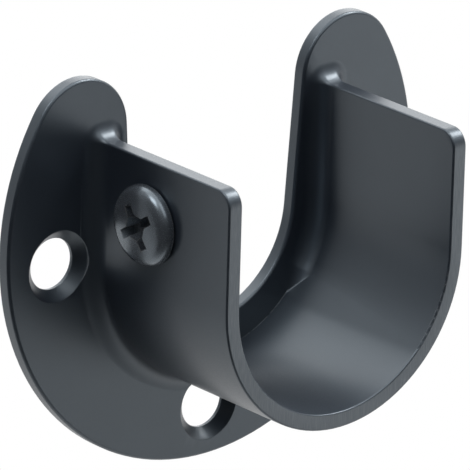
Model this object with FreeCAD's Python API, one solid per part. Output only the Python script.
# Open pole bracket: a round wall plate with a U notch, a U cradle for the pole's end, and a clamp screw.
# Millimetres. The wall is the plane y = 0, the front is -Y, +X is to the right and +Z is up.
# The origin is where the pole's axis meets the wall.
import FreeCAD, Part
import math
import os

V = FreeCAD.Vector

# Pole and cradle
pole_d = 25.0                 # the pole that the cradle takes
pole_clearance = 0.5          # all round the pole
cradle_wall = 1.6
cradle_reach = 20.0           # from the wall to the cradle's front face
cheek_height = 11.6           # top of the cheeks above the pole's axis
cheek_corner_r = 1.7          # front top corner of each cheek
cradle_edge_r = 0.2           # rounding of the cradle's open edges

# Fixing holes
fixing_hole_d = 5.0
countersink_d = 7.0
countersink_deg = 90.0
side_head_room = 0.9          # between a side countersink and the cradle
bottom_head_room = 0.1        # between the bottom countersink and the cradle
head_path = 3.0               # clear way for a screw head in front of the plate

# Wall plate
plate_wall = 1.3
plate_margin = 2.5            # from a side countersink to the rim
plate_rise = 1.8              # centre of the plate above the pole's axis
plate_edge_cut = 0.2          # break of the front edge, all round
lip_width = 3.0               # from the seat in to the notch, at the bottom
notch_rise = 0.3              # centre of the notch's round bottom above the pole's axis
notch_lean_deg = 3.9          # each side of the notch opens upwards by this angle
horn_side = 12.9              # straight side of the notch, up to the round top of a horn

# Root of the cradle
root_fillet_r = 1.8
seat_sweep_deg = 97.0         # span at the bottom where the pole's end sits flat against the lip

# Clamp screw in the left cheek
screw_d = 4.0
screw_clearance = 0.05        # radial, the plain bore stands for the tapped thread
screw_length = 4.0            # under the head
screw_tip_chamfer = 0.45
screw_back = 8.8              # screw's axis in front of the wall
screw_rise = 5.45             # screw's axis above the pole's axis
head_d = 7.7
head_height = 1.6
head_rim = 0.55               # straight side of the head below its dome
head_gap = 0.1                # under the head
recess_span = 4.5             # tip to tip of the cross recess
recess_arm = 0.95             # width of an arm at the head's face
recess_depth = 1.5
recess_floor_share = 0.45     # span at the floor over span at the face
recess_turn_deg = 56.0        # from the way to the wall, towards the top

# Worked out from the sizes above
seat_r = pole_d / 2 + pole_clearance
cradle_r = seat_r + cradle_wall
sink_r = countersink_d / 2
side_hole_x = cradle_r + side_head_room + sink_r
bottom_hole_z = -(cradle_r + bottom_head_room + sink_r)
plate_r = side_hole_x + sink_r + plate_margin
notch_r = seat_r - lip_width
front_face = -plate_wall
plate_middle = front_face / 2
over = 1.0                    # how far a cutting tool passes the face that it opens
close = 1e-3                  # two places nearer than this are the same


def at(x, z, y=0.0):
    """A point in the plane of the plate."""
    return V(x, y, z)


def polar(cx, cz, r, angle):
    return at(cx + r * math.cos(angle), cz + r * math.sin(angle))


def arc_edge(cx, cz, r, start, end):
    middle = (start + end) / 2
    points = [polar(cx, cz, r, angle) for angle in (start, middle, end)]
    return Part.Arc(*points).toShape()


def line_edge(a, b):
    return Part.LineSegment(a, b).toShape()


def mirrored(point):
    return V(-point.x, point.y, point.z)


def slab(edges, y_from, y_to):
    """A closed outline in the XZ plane, made solid between two depths."""
    wire = Part.Wire(Part.__sortEdges__(edges))
    face = Part.Face(wire)
    face.translate(V(0, y_from, 0))
    return face.extrude(V(0, y_to - y_from, 0))


def near(a, b):
    return abs(a - b) < close


def edges_where(shape, test):
    """The edges whose middle and ends pass a test."""
    found = []
    for edge in shape.Edges:
        middle = edge.valueAt((edge.FirstParameter + edge.LastParameter) / 2)
        ends = [vertex.Point for vertex in edge.Vertexes]
        if test(middle, ends):
            found.append(edge)
    return found


def lies_at(y, ends):
    """True where both ends of an edge are at the same depth y."""
    return near(ends[0].y, y) and near(ends[-1].y, y)


def plate_outline():
    """Disc, two round-topped horns and the notch between them, all tangent."""
    lean = math.radians(notch_lean_deg)
    up = V(math.sin(lean), 0, math.cos(lean))
    into_horn = V(math.cos(lean), 0, -math.sin(lean))
    notch_foot = at(0, notch_rise) + into_horn * notch_r
    notch_end = notch_foot + up * horn_side

    # The horn's round top touches the notch's side at its end and, from inside, the disc.
    from_centre = notch_end - at(0, plate_rise)
    horn_r = (plate_r ** 2 - from_centre.dot(from_centre)) / (2 * (plate_r + from_centre.dot(into_horn)))
    horn_centre = notch_end + into_horn * horn_r
    horn_angle = math.atan2(horn_centre.z - plate_rise, horn_centre.x)
    side_angle = math.pi - lean

    return [
        arc_edge(0, plate_rise, plate_r, horn_angle, -math.pi - horn_angle),
        arc_edge(0, notch_rise, notch_r, -lean, -math.pi + lean),
        arc_edge(horn_centre.x, horn_centre.z, horn_r, horn_angle, side_angle),
        arc_edge(-horn_centre.x, horn_centre.z, horn_r, math.pi - horn_angle, math.pi - side_angle),
        line_edge(notch_end, notch_foot),
        line_edge(mirrored(notch_end), mirrored(notch_foot)),
    ]


def wall_plate():
    plate = slab(plate_outline(), 0, front_face)
    front_edges = edges_where(plate, lambda middle, ends: lies_at(front_face, ends))
    return plate.makeChamfer(plate_edge_cut, front_edges)


def cradle():
    """Half-round trough with straight cheeks; it starts inside the plate's thickness."""
    edges = [arc_edge(0, 0, r, math.pi, 2 * math.pi) for r in (seat_r, cradle_r)]
    for side in (-1, 1):
        inner = side * seat_r
        outer = side * cradle_r
        edges.append(line_edge(at(outer, 0), at(outer, cheek_height)))
        edges.append(line_edge(at(inner, 0), at(inner, cheek_height)))
        edges.append(line_edge(at(inner, cheek_height), at(outer, cheek_height)))
    trough = slab(edges, plate_middle, -cradle_reach)

    def is_cheek_corner(middle, ends):
        return near(middle.z, cheek_height) and lies_at(-cradle_reach, ends)

    trough = trough.makeFillet(cheek_corner_r, edges_where(trough, is_cheek_corner))

    def is_open_edge(middle, ends):
        across_wall = near(abs(ends[0].x - ends[-1].x), cradle_wall)
        where_arc_meets_cheek = near(middle.z, 0)
        return not (lies_at(plate_middle, ends) or across_wall or where_arc_meets_cheek)

    return trough.makeFillet(cradle_edge_r, edges_where(trough, is_open_edge))


def fixing_hole(x, z):
    """Through hole, countersink and a clear way for the screw's head."""
    hole_r = fixing_hole_d / 2
    sink_depth = (sink_r - hole_r) / math.tan(math.radians(countersink_deg / 2))
    outwards = V(0, -1, 0)
    through = Part.makeCylinder(hole_r, plate_wall + 2 * over, V(x, over, z), outwards)
    cone = Part.makeCone(hole_r, sink_r, sink_depth, V(x, front_face + sink_depth, z), outwards)
    way = Part.makeCylinder(sink_r, head_path, V(x, front_face, z), outwards)
    return through.fuse([cone, way])


def seat_relief():
    """Brings the bottom of the seat back to a square corner, where the pole's end meets the lip."""
    half = math.radians(seat_sweep_deg / 2)
    start = -math.pi / 2 - half
    end = -math.pi / 2 + half
    edges = [
        arc_edge(0, 0, seat_r, start, end),
        line_edge(at(0, 0), polar(0, 0, seat_r, start)),
        line_edge(polar(0, 0, seat_r, end), at(0, 0)),
    ]
    return slab(edges, front_face, front_face - root_fillet_r - over)


def bracket_body():
    body = wall_plate().fuse(cradle()).removeSplitter()

    def is_on_root(middle, ends):
        from_axis = math.hypot(middle.x, min(middle.z, 0.0))
        in_wall = seat_r - close <= from_axis <= cradle_r + close
        return lies_at(front_face, ends) and in_wall and middle.z <= cheek_height + close

    body = body.makeFillet(root_fillet_r, edges_where(body, is_on_root))
    holes = [fixing_hole(side_hole_x, 0), fixing_hole(-side_hole_x, 0), fixing_hole(0, bottom_hole_z)]
    screw_bore = Part.makeCylinder(
        screw_d / 2 + screw_clearance, cradle_wall + 2 * over, screw_point(over, 0), V(1, 0, 0)
    )
    return body.cut([seat_relief(), screw_bore] + holes).removeSplitter()


def screw_point(out, up, back=0.0):
    """A point by the screw: out from the cheek, up from the screw's axis and back towards the wall."""
    return V(-cradle_r - out, -screw_back + back, screw_rise + up)


def cross_recess():
    """Two crossed, tapering slots, made as lofts from the face of the head to the floor."""
    face = head_gap + head_height
    slots = []
    for turn in (0, 90):
        rings = []
        for out, share in ((face, 1.0), (face - recess_depth, recess_floor_share)):
            half_span = recess_span / 2 * share
            half_arm = recess_arm / 2 * math.sqrt(share)
            corners = [(-1, -1), (1, -1), (1, 1), (-1, 1)]
            points = [screw_point(out, up * half_arm, back * half_span) for back, up in corners]
            rings.append(Part.makePolygon(points + points[:1]))
        slot = Part.makeLoft(rings, True)
        slot.rotate(screw_point(0, 0), V(1, 0, 0), recess_turn_deg + turn)
        slots.append(slot)
    return slots


def clamp_screw():
    """Turned round the screw's axis: a domed head with a straight rim, and a shank with a chamfered tip."""
    head_r = head_d / 2
    shank_r = screw_d / 2
    face = head_gap + head_height
    rim_top = head_gap + head_rim
    tip = head_gap - screw_length
    dome_height = head_height - head_rim
    dome_r = (head_r ** 2 + dome_height ** 2) / (2 * dome_height)
    half_way = head_r / 2
    half_way_out = face - dome_r + math.sqrt(dome_r ** 2 - half_way ** 2)
    dome = Part.Arc(screw_point(rim_top, head_r), screw_point(half_way_out, half_way), screw_point(face, 0))
    corners = [
        (face, 0),
        (tip, 0),
        (tip, shank_r - screw_tip_chamfer),
        (tip + screw_tip_chamfer, shank_r),
        (head_gap, shank_r),
        (head_gap, head_r),
        (rim_top, head_r),
    ]
    points = [screw_point(out, up) for out, up in corners]
    lines = [line_edge(a, b) for a, b in zip(points, points[1:])]
    profile = Part.Face(Part.Wire(lines + [dome.toShape()]))
    screw = profile.revolve(screw_point(0, 0), V(1, 0, 0), 360)
    return screw.cut(cross_recess())


def main():
    os.makedirs("parts", exist_ok=True)
    pieces = {"bracket_body": bracket_body(), "clamp_screw": clamp_screw()}
    for name, shape in pieces.items():
        solid = shape.Solids[0] if len(shape.Solids) == 1 else shape
        solid.exportStep(f"parts/{name}.step")
        box = solid.BoundBox
        print(name, solid.isValid(), len(shape.Solids), "volume", round(solid.Volume, 1))
        print("  box", [round(v, 2) for v in (box.XMin, box.XMax, box.YMin, box.YMax, box.ZMin, box.ZMax)])


main()
